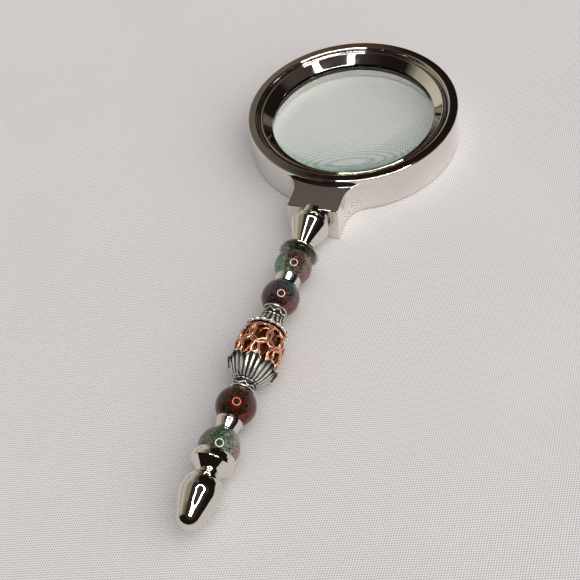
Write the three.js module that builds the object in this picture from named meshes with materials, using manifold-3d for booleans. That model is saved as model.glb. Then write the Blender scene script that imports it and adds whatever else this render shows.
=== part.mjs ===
// A hand magnifier with a bead-strung handle: a round cast frame that holds a biconvex lens under a
// conical retaining ring, and a steel rod that carries beads, spacers and caps up to a screwed finial.
// Millimetres. The origin is on the handle axis, halfway along the overall length; +Z is up through
// the lens, and the handle runs along -Y. Pieces are drawn round the lens centre, with stations along
// the handle as distances from it, and then moved together to the origin.
import * as THREE from "three";
import { mergeVertices } from "three/addons/utils/BufferGeometryUtils.js";
import Module from "manifold-3d";

const wasm = await Module();
wasm.setup();

// ---- driving dimensions ----
const FRAME_R = 30; // outer radius of the round frame
const FRAME_TOP = 5.2; // height of the flat rim
const FRAME_BOTTOM = -5.8; // height of the face it rests on
const RIM_BEVEL = 0.35;
const RIM_INNER_R = 27.2; // inner wall of the rim, above the groove round the retaining ring
const RIM_ROUND = 0.7; // how far the rim's inner edge is eased
const GROOVE_FLOOR = 4.0;
const THREAD_R = 26.5; // bore that takes the retaining ring
const CONE_TOP_R = 25.7; // the retaining ring's inner cone, at its lip and at its foot
const CONE_TOP = 4.35;
const CONE_FOOT = 2.2;
const CLEAR_R = 23.1; // clear opening, front and back
const LENS_R = 25; // edge radius of the glass
const LENS_CURVE_R = 140; // radius of both polished faces
const LENS_EDGE_TOP = 0.85;
const LENS_EDGE_BOTTOM = -1.0;
const SEAT_HEIGHT = -1.75; // ledge that carries washer and lens

const NECK_END_TOP = 39.1; // outer end of the neck block, along its top edge
const NECK_END_BOTTOM = 40.1; // and along its bottom edge
const NECK_HALF_WIDTH = 7;
const NECK_TOP = 3.9;
const NECK_FILLET_R = 7; // concave corner between neck block and frame
const SEAT_R = 4.1; // round seat on the neck block's end
const SEAT_END = 40.3;
const COLLAR_START = 40.4;
const CONE_START = 41.75;
const CUP_START = 49.75;
const ROD_R = 1.25;
const ROD_START = 34;
const ROD_END = 123.5;
const STUD_BORE_R = 1.3; // thread bores, drawn plain at the rod's size
const RUNNING_BORE_R = 1.33; // bores of everything strung on the rod
const FINIAL_BORE_END = 124.2;

const BEAD_R = 4.84;
const BEAD_STATIONS = [56.7, 67.1, 100.0, 111.25];
const BEAD_GAP = 0.16; // room between a bead and the metal cupped round it

const FILIGREE_CENTRE = 84.3;
const FILIGREE_HALF_LENGTH = 6.2;
const FILIGREE_R = 5.9;
const WIRE_R = 0.34;
const WIRES_EACH_WAY = 5;

// Bead caps: the stations of rim, throat and mouth; the rim's radius; how its skirt flares; and the
// scallops round the rim, with the angle of the first one's tip from straight up, in degrees, and how
// far they cut into the rim's length and its radius.
const UPPER_CAP = {
  rim: 78.1,
  throat: 74.4,
  mouth: 71.1,
  rimR: 5.2,
  flare: 1.6,
  scallops: 16,
  firstTip: 0,
  notch: 0.35,
  flute: 0.06,
};
const LOWER_CAP = {
  rim: 87.7,
  throat: 93.2,
  mouth: 95.9,
  rimR: 6.15,
  flare: 0.7,
  scallops: 8,
  firstTip: 15,
  notch: 1.8,
  flute: 0.05,
};
const CAP_WALL = 0.4;
const COLLAR_R = 2.9;

const END_STATION = 131.9; // tip of the finial
const LENS_CENTRE_Y = (END_STATION - FRAME_R) / 2;

const FRAME_SIDES = 60;
const LENS_SIDES = 40;
const HANDLE_SIDES = 18;

// ---- materials ----
const metal = (colour, roughness) =>
  new THREE.MeshStandardMaterial({ color: colour, roughness, metalness: 1 });
const chrome = metal(0xc9c7c4, 0.08);
const steel = metal(0x9a9a98, 0.3);
const antiqueSilver = metal(0xb2aea4, 0.3);
const copper = metal(0xb8693f, 0.25);
const glass = new THREE.MeshStandardMaterial({
  color: 0xd4e6dc,
  roughness: 0.05,
  metalness: 0,
  transparent: true,
  opacity: 0.35,
});
const washerFibre = new THREE.MeshStandardMaterial({ color: 0x202020, roughness: 0.8 });
const stone = (colour) => new THREE.MeshStandardMaterial({ color: colour, roughness: 0.15 });

// ---- shapes ----
// A closed geometry as a manifold solid, with its shared vertices merged and its faces turned out.
function solidOf(geometry) {
  const bare = geometry.index ? geometry.toNonIndexed() : geometry.clone();
  bare.deleteAttribute("normal");
  bare.deleteAttribute("uv");
  const merged = mergeVertices(bare, 1e-4);
  const index = merged.index.array;
  const kept = [];
  for (let i = 0; i < index.length; i += 3) {
    const [a, b, c] = [index[i], index[i + 1], index[i + 2]];
    if (a !== b && b !== c && c !== a) kept.push(a, b, c);
  }
  const build = (triangles) =>
    new wasm.Manifold(
      new wasm.Mesh({
        numProp: 3,
        vertProperties: merged.attributes.position.array,
        triVerts: new Uint32Array(triangles),
      }),
    );
  const made = build(kept);
  return made.volume() > 0 ? made : build(kept.reverse());
}

// A named mesh of a manifold solid.
function meshOf(name, solid, material) {
  const { vertProperties, triVerts, numProp } = solid.getMesh();
  const positions = new Float32Array((vertProperties.length / numProp) * 3);
  for (let v = 0; v * 3 < positions.length; v++)
    positions.set(vertProperties.subarray(v * numProp, v * numProp + 3), v * 3);
  const geometry = new THREE.BufferGeometry()
    .setAttribute("position", new THREE.BufferAttribute(positions, 3))
    .setIndex(new THREE.BufferAttribute(triVerts, 1));
  const mesh = new THREE.Mesh(geometry.translate(0, LENS_CENTRE_Y, 0), material);
  mesh.name = name;
  return mesh;
}

const points = (pairs) => pairs.map(([x, y]) => new THREE.Vector2(x, y));
const closed = (pairs) => [...pairs, pairs[0]];

// A body turned about the lens axis, from a profile of [radius, height].
function turnedFrame(profile, sides) {
  return solidOf(new THREE.LatheGeometry(points(profile), sides).rotateX(Math.PI / 2));
}

// A body turned about the handle axis, from a profile of [radius, station].
function turned(profile, sides = HANDLE_SIDES) {
  const pairs = profile.map(([r, station]) => [r, -station]);
  return solidOf(new THREE.LatheGeometry(points(pairs), sides));
}

// A sleeve on the handle axis: its outer profile of [radius, station], closed by a straight bore.
function sleeve(outer, boreR = RUNNING_BORE_R) {
  const [first, last] = [outer[0][1], outer[outer.length - 1][1]];
  return turned(closed([[boreR, first], ...outer, [boreR, last]]));
}

// Points along an arc in a [radius, station] plane, from one angle to another.
function arc(centreR, centreStation, radius, from, to, steps) {
  return Array.from({ length: steps + 1 }, (_, i) => {
    const angle = from + ((to - from) * i) / steps;
    return [centreR + radius * Math.cos(angle), centreStation + radius * Math.sin(angle)];
  });
}

// Station where a sphere round the bead at centre, larger by the gap, has radius r; side is -1 towards
// the lens and 1 away from it.
function beadFace(centre, r, side) {
  return centre + side * Math.sqrt((BEAD_R + BEAD_GAP) ** 2 - r ** 2);
}

// Points of a hollow that follows that sphere, between two radii.
function beadHollow(centre, side, fromR, toR, steps = 3) {
  return Array.from({ length: steps + 1 }, (_, i) => {
    const r = fromR + ((toR - fromR) * i) / steps;
    return [r, beadFace(centre, r, side)];
  });
}

// ---- lens and frame ----
// Depth of the polished face at a radius, measured from its crown.
function sag(r) {
  return LENS_CURVE_R - Math.sqrt(LENS_CURVE_R ** 2 - r ** 2);
}

function lens() {
  const rings = [0, 8, 15, 20.5, LENS_R];
  const face = (edge, side) => rings.map((r) => [r, edge + side * (sag(LENS_R) - sag(r))]);
  const front = face(LENS_EDGE_TOP, 1);
  const back = face(LENS_EDGE_BOTTOM, -1);
  return turnedFrame([...back, ...front.reverse()], LENS_SIDES);
}

function lensWasher() {
  const [inner, outer, thick, lift] = [CLEAR_R + 0.4, LENS_R, 0.25, 0.05];
  const base = SEAT_HEIGHT + lift;
  return turnedFrame(
    closed([
      [inner, base],
      [outer, base],
      [outer, base + thick],
      [inner, base + thick],
    ]),
    LENS_SIDES,
  );
}

// The retaining ring: a thin flat lip, a straight cone down towards the glass, and a short foot.
function retainingRing() {
  const outerR = THREAD_R - 0.2;
  const lipTop = CONE_TOP + 0.15;
  const foot = LENS_EDGE_TOP + 0.3;
  return turnedFrame(
    closed([
      [outerR, foot],
      [outerR, lipTop - 0.15],
      [outerR - 0.15, lipTop],
      [CONE_TOP_R + 0.1, lipTop],
      [CONE_TOP_R, CONE_TOP],
      [CLEAR_R + 0.2, CONE_FOOT],
      [CLEAR_R, CONE_FOOT - 0.2],
      [CLEAR_R, foot + 0.3],
      [CLEAR_R + 0.4, foot],
    ]),
    FRAME_SIDES,
  );
}

// The neck block in plan: straight sides that open through concave corners onto the frame's circle.
function neckPlan() {
  const filletX = NECK_HALF_WIDTH + NECK_FILLET_R;
  const filletY = -Math.sqrt((FRAME_R + NECK_FILLET_R) ** 2 - filletX ** 2);
  const towardsLens = Math.atan2(-filletY, -filletX);
  const side = arc(filletX, filletY, NECK_FILLET_R, towardsLens, Math.PI, 6);
  const buried = FRAME_R - 1.4; // inner end of the block, inside the frame's wall
  const root = Math.asin(side[0][0] / FRAME_R);
  const inner = arc(0, 0, buried, -Math.PI / 2 + root, -Math.PI / 2 - root, 6);
  const right = [...side, [NECK_HALF_WIDTH, -NECK_END_BOTTOM]];
  const left = right.map(([x, y]) => [-x, y]).reverse();
  return new THREE.Shape(points([...right, ...left, ...inner.reverse()]));
}

// The neck block: its plan, cut to a side view whose end leans out towards the bottom.
function neckBlock() {
  const plain = { bevelEnabled: false };
  const plan = new THREE.ExtrudeGeometry(neckPlan(), {
    ...plain,
    depth: NECK_TOP - FRAME_BOTTOM,
  }).translate(0, 0, FRAME_BOTTOM);
  const wide = 2 * FRAME_R;
  const side = new THREE.Shape(
    points([
      [0, FRAME_BOTTOM - 1],
      [0, NECK_TOP + 1],
      [-NECK_END_TOP, NECK_TOP + 1],
      [-NECK_END_TOP, NECK_TOP],
      [-NECK_END_BOTTOM, FRAME_BOTTOM],
      [-NECK_END_BOTTOM, FRAME_BOTTOM - 1],
    ]),
  );
  const [alongX, alongY, alongZ] = [
    new THREE.Vector3(1, 0, 0),
    new THREE.Vector3(0, 1, 0),
    new THREE.Vector3(0, 0, 1),
  ];
  const slab = new THREE.ExtrudeGeometry(side, { ...plain, depth: wide })
    .translate(0, 0, -wide / 2)
    .applyMatrix4(new THREE.Matrix4().makeBasis(alongY, alongZ, alongX));
  return solidOf(plan).intersect(solidOf(slab));
}

function frameRing() {
  const ring = turnedFrame(
    closed([
      [FRAME_R - RIM_BEVEL, FRAME_TOP],
      [FRAME_R, FRAME_TOP - RIM_BEVEL],
      [FRAME_R, FRAME_BOTTOM + RIM_BEVEL],
      [FRAME_R - RIM_BEVEL, FRAME_BOTTOM],
      [CLEAR_R + 0.5, FRAME_BOTTOM],
      [CLEAR_R, FRAME_BOTTOM + 0.5],
      [CLEAR_R, SEAT_HEIGHT],
      [LENS_R + 0.3, SEAT_HEIGHT],
      [LENS_R + 0.3, LENS_EDGE_TOP],
      [THREAD_R, LENS_EDGE_TOP],
      [THREAD_R, GROOVE_FLOOR],
      [RIM_INNER_R, GROOVE_FLOOR],
      [RIM_INNER_R, FRAME_TOP - RIM_ROUND],
      [RIM_INNER_R + 0.3 * RIM_ROUND, FRAME_TOP - 0.3 * RIM_ROUND],
      [RIM_INNER_R + RIM_ROUND, FRAME_TOP],
    ]),
    FRAME_SIDES,
  );
  const seat = turned([
    [0, NECK_END_TOP - 1],
    [SEAT_R, NECK_END_TOP - 1],
    [SEAT_R, SEAT_END],
    [0, SEAT_END],
  ]);
  const studBore = turned([
    [0, ROD_START - 0.6],
    [STUD_BORE_R, ROD_START - 0.3],
    [STUD_BORE_R, SEAT_END + 1],
    [0, SEAT_END + 1],
  ]);
  return ring.add(neckBlock()).add(seat).subtract(studBore);
}

// ---- neck fittings ----
function neckCollar() {
  const start = COLLAR_START;
  return sleeve([
    [4.5, start],
    [4.65, start + 0.15],
    [4.65, start + 0.4],
    [4.4, start + 0.55],
    [4.8, start + 0.7],
    [4.8, start + 1.1],
    [4.65, start + 1.25],
  ]);
}

function neckCone() {
  const [shoulder, end] = [CONE_START + 0.5, CONE_START + 7.85];
  return sleeve([
    [4.85, CONE_START],
    [5.05, CONE_START + 0.2],
    [5.1, shoulder],
    [2.3, end],
  ]);
}

// A shallow dish that opens towards the first bead.
function neckCup() {
  const rim = CUP_START + 2.5;
  return turned(
    closed([
      [RUNNING_BORE_R, CUP_START],
      [2.7, CUP_START],
      [3.0, CUP_START + 0.25],
      [3.1, CUP_START + 0.65],
      [5.15, rim - 0.45],
      [5.3, rim - 0.2],
      [5.15, rim],
      [4.85, rim],
      [3.4, CUP_START + 2.0],
      [RUNNING_BORE_R, CUP_START + 2.1],
    ]),
  );
}

function handleRod() {
  const chamfer = 0.35;
  return turned([
    [0, ROD_START],
    [ROD_R - chamfer, ROD_START],
    [ROD_R, ROD_START + chamfer],
    [ROD_R, ROD_END - chamfer],
    [ROD_R - chamfer, ROD_END],
    [0, ROD_END],
  ]);
}

// ---- strung pieces ----
function bead(centre) {
  const mouth = Math.asin(RUNNING_BORE_R / BEAD_R);
  return turned(closed(arc(0, centre, BEAD_R, mouth - Math.PI / 2, Math.PI / 2 - mouth, 9)));
}

// A spacer whose ends are hollowed to sit on the beads on either side, with a given profile between.
function spacer(before, after, startR, between, endR) {
  const startFace = beadHollow(before, 1, RUNNING_BORE_R, startR, 2);
  const endFace = beadHollow(after, -1, endR, RUNNING_BORE_R, 2);
  return turned(closed([...startFace, ...between, ...endFace]));
}

// A bead cap: a collar that sits on a bead, and a flared skirt with a scalloped, fluted rim.
function beadCap(cap, beadCentre) {
  const outwards = Math.sign(cap.rim - cap.throat); // from throat to rim along the handle
  const length = Math.abs(cap.rim - cap.throat);
  const skirt = (share, wall) => {
    const r = COLLAR_R + (cap.rimR - COLLAR_R) * share ** cap.flare;
    return [r - wall, cap.throat + outwards * length * share];
  };
  const shares = [0.25, 0.5, 0.75, 1];
  const profile = closed([
    ...beadHollow(beadCentre, outwards, RUNNING_BORE_R, COLLAR_R - 0.1, 2),
    [COLLAR_R, cap.mouth + outwards * 0.5],
    [COLLAR_R - 0.25, cap.mouth + outwards * 1.3],
    [COLLAR_R, cap.throat],
    ...shares.map((share) => skirt(share, 0)),
    ...shares.map((share) => skirt(share, CAP_WALL)).reverse(),
    [RUNNING_BORE_R, cap.throat + outwards * 0.8],
  ]);
  const sides = cap.scallops * 2 * Math.ceil(16 / cap.scallops);
  const firstTip = (cap.firstTip * Math.PI) / 180;
  const pairs = profile.map(([r, station]) => [r, -station]);
  const geometry = new THREE.LatheGeometry(points(pairs), sides, firstTip);
  const position = geometry.getAttribute("position");
  for (let i = 0; i < position.count; i++) {
    const [x, y, z] = [position.getX(i), position.getY(i), position.getZ(i)];
    const share = (-y - cap.throat) / (cap.rim - cap.throat);
    if (share < 0.2) continue;
    const angle = Math.atan2(x, z) - firstTip;
    const fromTip = 1 - Math.abs(Math.cos((cap.scallops * angle) / 2));
    const scale = 1 - cap.flute * share * fromTip;
    const cut = outwards * cap.notch * share ** 2 * fromTip;
    position.setXYZ(i, x * scale, y + cut, z * scale);
  }
  return solidOf(geometry);
}

// The filigree bead's envelope: radius of the wires' middles at a station.
function envelope(station) {
  const share = Math.abs(station - FILIGREE_CENTRE) / FILIGREE_HALF_LENGTH;
  const fullness = station < FILIGREE_CENTRE ? 4 : 3; // blunter at the end nearer the lens
  return (FILIGREE_R - WIRE_R) * Math.max(0, 1 - share ** fullness) ** (1 / fullness);
}

// One wire of the cage, leaning round the handle one way or the other from end ring to end ring.
class CageWire extends THREE.Curve {
  constructor(start, lean) {
    super();
    this.start = start;
    this.lean = lean;
  }
  getPoint(t, target = new THREE.Vector3()) {
    const station = FILIGREE_CENTRE + (2 * t - 1) * (FILIGREE_HALF_LENGTH - 0.55);
    const angle = this.start + this.lean * (t - 0.5);
    const r = envelope(station);
    return target.set(r * Math.sin(angle), -station, r * Math.cos(angle));
  }
}

function filigreeBead() {
  const endRing = (station) => {
    const r = envelope(station) + 0.3;
    return turned(
      closed([
        [RUNNING_BORE_R, station - 0.4],
        [r, station - 0.4],
        [r, station + 0.4],
        [RUNNING_BORE_R, station + 0.4],
      ]),
    );
  };
  const reach = FILIGREE_HALF_LENGTH - 0.5;
  let cage = endRing(FILIGREE_CENTRE - reach).add(endRing(FILIGREE_CENTRE + reach));
  const section = new THREE.Shape().absarc(0, 0, WIRE_R, 0, 2 * Math.PI);
  for (let i = 0; i < WIRES_EACH_WAY; i++) {
    const start = (2 * Math.PI * i) / WIRES_EACH_WAY;
    for (const lean of [1.9, -1.9]) {
      const wire = new THREE.ExtrudeGeometry(section, {
        steps: 6,
        curveSegments: 3,
        bevelEnabled: false,
        extrudePath: new CageWire(start, lean),
      });
      cage = cage.add(solidOf(wire));
    }
  }
  return cage;
}

// ---- finial ----
function finialCup() {
  const beadCentre = BEAD_STATIONS[3];
  const [lip, crease, end] = [beadCentre + 2.3, 115.6, 118.6];
  return turned(
    closed([
      ...beadHollow(beadCentre, 1, RUNNING_BORE_R, 4.45, 4),
      [4.72, lip],
      [5.05, lip + 0.6],
      [5.26, lip + 1.3],
      [5.3, crease],
      [2.35, end],
      [RUNNING_BORE_R, end],
    ]),
  );
}

function finialTip() {
  const [start, widest, end] = [118.75, 122.3, END_STATION];
  const [neckR, widestR] = [2.4, 4.85];
  const quarter = (steps) => Array.from({ length: steps + 1 }, (_, i) => (Math.PI / 2) * (i / steps));
  const shoulder = quarter(5).map((angle) => [
    neckR + (widestR - neckR) * Math.sin(angle),
    widest - (widest - start) * Math.cos(angle),
  ]);
  const nose = quarter(7).map((angle) => {
    const share = Math.min(1, Math.sin(angle));
    return [widestR * (1 - share ** 1.8) ** 0.54, widest + (end - widest) * share];
  });
  return turned([
    [0, FINIAL_BORE_END],
    [STUD_BORE_R, FINIAL_BORE_END],
    [STUD_BORE_R, start],
    ...shoulder,
    ...nose.slice(1),
  ]);
}

// ---- assembly ----
const group = new THREE.Group();
const [beadOne, beadTwo, beadThree, beadFour] = BEAD_STATIONS;
for (const [name, solid, material] of [
  ["frame_ring", frameRing(), chrome],
  ["lens", lens(), glass],
  ["lens_washer", lensWasher(), washerFibre],
  ["retaining_ring", retainingRing(), chrome],
  ["neck_collar", neckCollar(), chrome],
  ["neck_cone", neckCone(), chrome],
  ["neck_cup", neckCup(), chrome],
  ["handle_rod", handleRod(), steel],
  ["bead_1", bead(beadOne), stone(0x4f5f52)],
  ["spacer_1", spacer(beadOne, beadTwo, 3.0, [[2.75, 61.9]], 3.0), chrome],
  ["bead_2", bead(beadTwo), stone(0x33292e)],
  ["upper_bead_cap", beadCap(UPPER_CAP, beadTwo), antiqueSilver],
  ["filigree_bead", filigreeBead(), copper],
  ["lower_bead_cap", beadCap(LOWER_CAP, beadThree), antiqueSilver],
  ["bead_3", bead(beadThree), stone(0x3a2522)],
  ["spacer_2", spacer(beadThree, beadFour, 3.0, [[3.05, 105.3]], 2.3), chrome],
  ["bead_4", bead(beadFour), stone(0x6d7568)],
  ["finial_cup", finialCup(), chrome],
  ["finial_tip", finialTip(), chrome],
])
  group.add(meshOf(name, solid, material));

export default group;
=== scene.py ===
"""Looks of a hand magnifier with a bead-strung handle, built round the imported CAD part.

Shapes are drawn in millimetres: heights from the handle axis, and stations along the handle as
distances from the lens centre. They are moved into the part's frame, in metres, when a mesh is made.
"""

import math

import bmesh
import bpy
from mathutils import Matrix, Vector


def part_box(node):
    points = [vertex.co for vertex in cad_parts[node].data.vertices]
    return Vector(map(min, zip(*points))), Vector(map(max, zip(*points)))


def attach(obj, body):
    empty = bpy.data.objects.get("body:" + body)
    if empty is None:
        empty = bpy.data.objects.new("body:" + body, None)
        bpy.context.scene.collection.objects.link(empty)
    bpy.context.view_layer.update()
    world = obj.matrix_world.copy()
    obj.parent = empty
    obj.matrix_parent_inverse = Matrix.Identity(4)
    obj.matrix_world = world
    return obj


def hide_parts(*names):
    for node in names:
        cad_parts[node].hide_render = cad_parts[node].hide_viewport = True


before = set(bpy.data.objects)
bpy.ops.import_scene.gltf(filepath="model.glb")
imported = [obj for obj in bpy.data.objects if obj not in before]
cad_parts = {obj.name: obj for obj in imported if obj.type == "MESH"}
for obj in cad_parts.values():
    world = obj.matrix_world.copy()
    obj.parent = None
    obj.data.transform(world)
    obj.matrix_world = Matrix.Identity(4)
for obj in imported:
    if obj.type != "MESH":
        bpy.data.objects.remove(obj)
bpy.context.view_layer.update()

MM = 0.001
SAME_PLACE = 0.0001 * MM


def middle(node):
    """The middle of a CAD node's box, in millimetres."""
    low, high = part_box(node)
    return (low + high) / 2 / MM


def station_of(node):
    """A handle piece's distance from the lens centre, in millimetres."""
    return LENS_Y - middle(node).y


LENS_Y = middle("lens").y
TIP_END = LENS_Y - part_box("finial_tip")[0].y / MM

# ---- dimensions, in millimetres ----
FRAME_R = 30.0
FRAME_TOP = 5.2
FRAME_BOTTOM = -5.8
FRAME_EDGE_ROUND = 0.4
RIM_INNER_R = 27.2
RIM_ROUND = 0.8
GROOVE_FLOOR = 4.0
THREAD_R = 26.5
THREAD_PLAY = 0.2
RING_FOOT_GAP = 0.3
CONE_TOP_R = 25.7
CONE_TOP = 4.35
CONE_FOOT = 2.2
CLEAR_R = 23.1
LENS_R = 25.0
LENS_PLAY = 0.3
LENS_CURVE_R = 140.0
LENS_EDGE_TOP = 0.85
LENS_EDGE_BOTTOM = -1.0
SEAT_HEIGHT = -1.75
# outside this circle the glass is painted with a streaky green band: a painted view of the lens's
# bottom edge through the glass
PAINTED_EDGE_CENTRE = (-1.0, LENS_Y + 5.0, 0)
PAINTED_EDGE_R = 25.0

NECK_END_TOP = 39.1
NECK_END_BOTTOM = 40.1
NECK_HALF_WIDTH = 7.0
NECK_TOP = 3.9
NECK_FALL = 0.025
NECK_FILLET_R = 7.0
NECK_EDGE_ROUND = 0.2
NECK_OVERLAP = 1.6
SEAT_R = 4.1
SEAT_END = 40.3
COLLAR_START = 40.4
CONE_START = 41.75
CUP_START = 49.75

BORE_R = 1.33
STUD_BORE_R = 1.3
NECK_BORE_END = 33.4
TIP_BORE_END = 124.2
BEAD_R = 4.84
BEAD_GAP = 0.16
BEAD_1 = station_of("bead_1")
BEAD_2 = station_of("bead_2")
BEAD_3 = station_of("bead_3")
BEAD_4 = station_of("bead_4")

FILIGREE_CENTRE = station_of("filigree_bead")
FILIGREE_HALF_LENGTH = 6.2
FILIGREE_R = 5.9
WIRE_R = 0.37
CORE_DEPTH = 0.8

CAP_WALL = 0.4
LIP_R = 0.42
COLLAR_R = 2.9

WAIST_R = 2.6
DISH_END = 118.6
BULLET_START = 118.75

FLOOR_HEIGHT = -5.9
FLOOR_HALF = 1200.0
WEAVE_PITCH = (0.68, 0.92)
WEAVE_TURN = 36.0

# ---- camera, in millimetres and degrees: its axes also say which way each stone's patches face ----
CAMERA_PLACE = Vector((75.79, LENS_Y - 209.52, 191.2))
CAMERA_AZIMUTH = 27.05
CAMERA_ELEVATION = 49.51
CAMERA_ROLL = -11.76
CAMERA_TURN = (
    Matrix.Rotation(math.radians(CAMERA_AZIMUTH), 3, "Z")
    @ Matrix.Rotation(math.radians(90 - CAMERA_ELEVATION), 3, "X")
    @ Matrix.Rotation(math.radians(CAMERA_ROLL), 3, "Z")
)
SENSOR_WIDTH = 36.0
FOCAL_LENGTH = 62.07

# ---- ring lamp: every ball and cone mirrors it; its angles are the ring's, as seen from the part ----
LAMP_WAY = Vector((0.245, -0.125, 0.955)).normalized()
LAMP_DISTANCE = 450.0
LAMP_ANGLE = 20.6
LAMP_HALF_ANGLE = 2.0


# ---- meshes ----
def piece(name, corners, faces, sharp_degrees=35):
    """A mesh object from corners in millimetres, with its faces out and its creases kept sharp."""
    mesh = bpy.data.meshes.new(name)
    mesh.from_pydata([Vector(c) * MM for c in corners], [], faces)
    made = bpy.data.objects.new(name, mesh)
    bpy.context.scene.collection.objects.link(made)
    clean(made, sharp_degrees)
    return made


def clean(made, sharp_degrees=35):
    """Merges doubled corners, turns the faces out, and shades smooth except over sharp creases."""
    work = bmesh.new()
    work.from_mesh(made.data)
    bmesh.ops.remove_doubles(work, verts=work.verts, dist=SAME_PLACE)
    bmesh.ops.recalc_face_normals(work, faces=work.faces)
    if work.calc_volume(signed=True) < 0:
        bmesh.ops.reverse_faces(work, faces=work.faces)
    limit = math.radians(sharp_degrees)
    for edge in work.edges:
        edge.smooth = edge.calc_face_angle(0) < limit
    for face in work.faces:
        face.smooth = True
    work.to_mesh(made.data)
    work.free()


def on_handle(r, station, angle):
    """A point at a radius, station and angle round the handle axis; angle 0 is straight up."""
    return (r * math.sin(angle), LENS_Y - station, r * math.cos(angle))


def on_frame(r, height, angle):
    """A point at a radius, height and angle round the lens axis."""
    return (r * math.cos(angle), LENS_Y + r * math.sin(angle), height)


def turned(name, profile, place=on_handle, sides=128, loop=True, shape=None, sharp_degrees=35):
    """A body of revolution; a profile that isn't a loop starts and ends on the axis.

    shape, if given, takes radius, station and angle and returns all three, changed.
    """
    corners, rings = [], []
    for r, along in profile:
        count = 1 if r < 1e-6 else sides
        rings.append([len(corners) + i for i in range(count)])
        for i in range(count):
            where = (r, along, 2 * math.pi * i / sides)
            corners.append(place(*(shape(*where) if shape else where)))
    faces = []
    pairs = list(zip(rings, rings[1:]))
    if loop:
        pairs.append((rings[-1], rings[0]))
    for a, b in pairs:
        for i in range(sides):
            j = (i + 1) % sides
            quad = [a[i % len(a)], a[j % len(a)], b[j % len(b)], b[i % len(b)]]
            face = list(dict.fromkeys(quad))
            if len(face) > 2:
                faces.append(face)
    return piece(name, corners, faces, sharp_degrees)


def arc(centre_r, centre_along, radius, start, end, steps):
    """Points along an arc in the profile's plane, from one angle in degrees to another."""
    points = []
    for i in range(steps + 1):
        angle = math.radians(start + (end - start) * i / steps)
        points.append((centre_r + radius * math.cos(angle), centre_along + radius * math.sin(angle)))
    return points


def rounded(outline, loop=True, step_degrees=12):
    """An outline of (x, y) or (x, y, corner radius) points with its corners rounded.

    A short stretch is added at both ends of each straight run, so that flats shade flat.
    """
    count = len(outline)
    result = []
    for i, point in enumerate(outline):
        here = Vector(point[:2])
        radius = point[2] if len(point) > 2 else 0
        if radius <= 0 or (not loop and i in (0, count - 1)):
            result.append(here)
            continue
        to_last = Vector(outline[i - 1][:2]) - here
        to_next = Vector(outline[(i + 1) % count][:2]) - here
        reach = min(to_last.length, to_next.length) * 0.49
        to_last.normalize()
        to_next.normalize()
        half = to_last.angle(to_next) / 2
        cut = min(radius / math.tan(half), reach)
        radius = cut * math.tan(half)
        centre = here + (to_last + to_next).normalized() * (radius / math.sin(half))
        start = here + to_last * cut - centre
        sweep = start.angle_signed(here + to_next * cut - centre)
        steps = max(2, math.ceil(math.degrees(abs(sweep)) / step_degrees))
        for k in range(steps + 1):
            turn = Matrix.Rotation(-sweep * k / steps, 2)
            result.append(centre + turn @ start)
    held = []
    stretch = 0.06
    ends = zip(result, result[1:] + result[:1]) if loop else zip(result, result[1:])
    for a, b in ends:
        held.append(tuple(a))
        run = (b - a).length
        if run > 10 * stretch:
            held.append(tuple(a.lerp(b, stretch / run)))
            held.append(tuple(b.lerp(a, stretch / run)))
    if not loop:
        held.append(tuple(result[-1]))
    return held


def modified(made, kind, **settings):
    """Applies one modifier to an object's mesh."""
    modifier = made.modifiers.new(kind, kind)
    for key, value in settings.items():
        setattr(modifier, key, value)
    bpy.context.view_layer.update()
    evaluated = made.evaluated_get(bpy.context.evaluated_depsgraph_get())
    mesh = bpy.data.meshes.new_from_object(evaluated)
    made.modifiers.clear()
    made.data = mesh
    return made


def joined(made, other, operation="UNION", solver="EXACT"):
    """Adds or takes away another object, which is used up."""
    modified(made, "BOOLEAN", object=other, operation=operation, solver=solver)
    bpy.data.objects.remove(other)
    return made


# ---- materials ----
def node(tree, kind, inputs=None, **settings):
    """Adds a shader node; an input is a value or another node's output."""
    made = tree.nodes.new("ShaderNode" + kind)
    for key, value in settings.items():
        setattr(made, key, value)
    for key, value in (inputs or {}).items():
        if isinstance(value, bpy.types.NodeSocket):
            tree.links.new(value, made.inputs[key])
        else:
            made.inputs[key].default_value = value
    return made


def rgba(colour):
    """A colour with full opacity."""
    return (*colour, 1.0)


def bump(tree, strength, depth, height):
    """The normal of a fine relief; its depth is in millimetres."""
    inputs = {"Strength": strength, "Distance": depth * MM, "Height": height}
    return node(tree, "Bump", inputs).outputs["Normal"]


def ramp(tree, factor, stops, interpolation="LINEAR"):
    """A colour ramp from (position, colour) stops; a plain number makes a grey."""
    made = node(tree, "ValToRGB", {"Fac": factor})
    elements = made.color_ramp.elements
    made.color_ramp.interpolation = interpolation
    while len(elements) < len(stops):
        elements.new(0.5)
    for element, (position, colour) in zip(elements, stops):
        element.position = position
        element.color = rgba(colour if isinstance(colour, tuple) else (colour,) * 3)
    return made.outputs["Color"]


def mix(tree, factor, a, b, blend="MIX"):
    """Mixes two colours."""
    made = node(tree, "Mix", data_type="RGBA", blend_type=blend)
    for index, value in ((0, factor), (6, a), (7, b)):
        if isinstance(value, bpy.types.NodeSocket):
            tree.links.new(value, made.inputs[index])
        elif index == 0:
            made.inputs[index].default_value = value
        else:
            made.inputs[index].default_value = rgba(value)
    return made.outputs[2]


def maths(tree, operation, a, b=0.0):
    """One step of arithmetic on numbers."""
    return node(tree, "Math", {0: a, 1: b}, operation=operation).outputs[0]


def vector_maths(tree, operation, a, b=(0, 0, 0)):
    """One step of arithmetic on vectors."""
    made = node(tree, "VectorMath", {0: a, 1: b}, operation=operation)
    return made.outputs["Value" if operation in ("DOT_PRODUCT", "LENGTH") else "Vector"]


def drift(tree, pattern, reach):
    """A noise pattern, spread evenly to both sides of nought."""
    return maths(tree, "MULTIPLY", maths(tree, "SUBTRACT", pattern, 0.5), reach)


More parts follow.
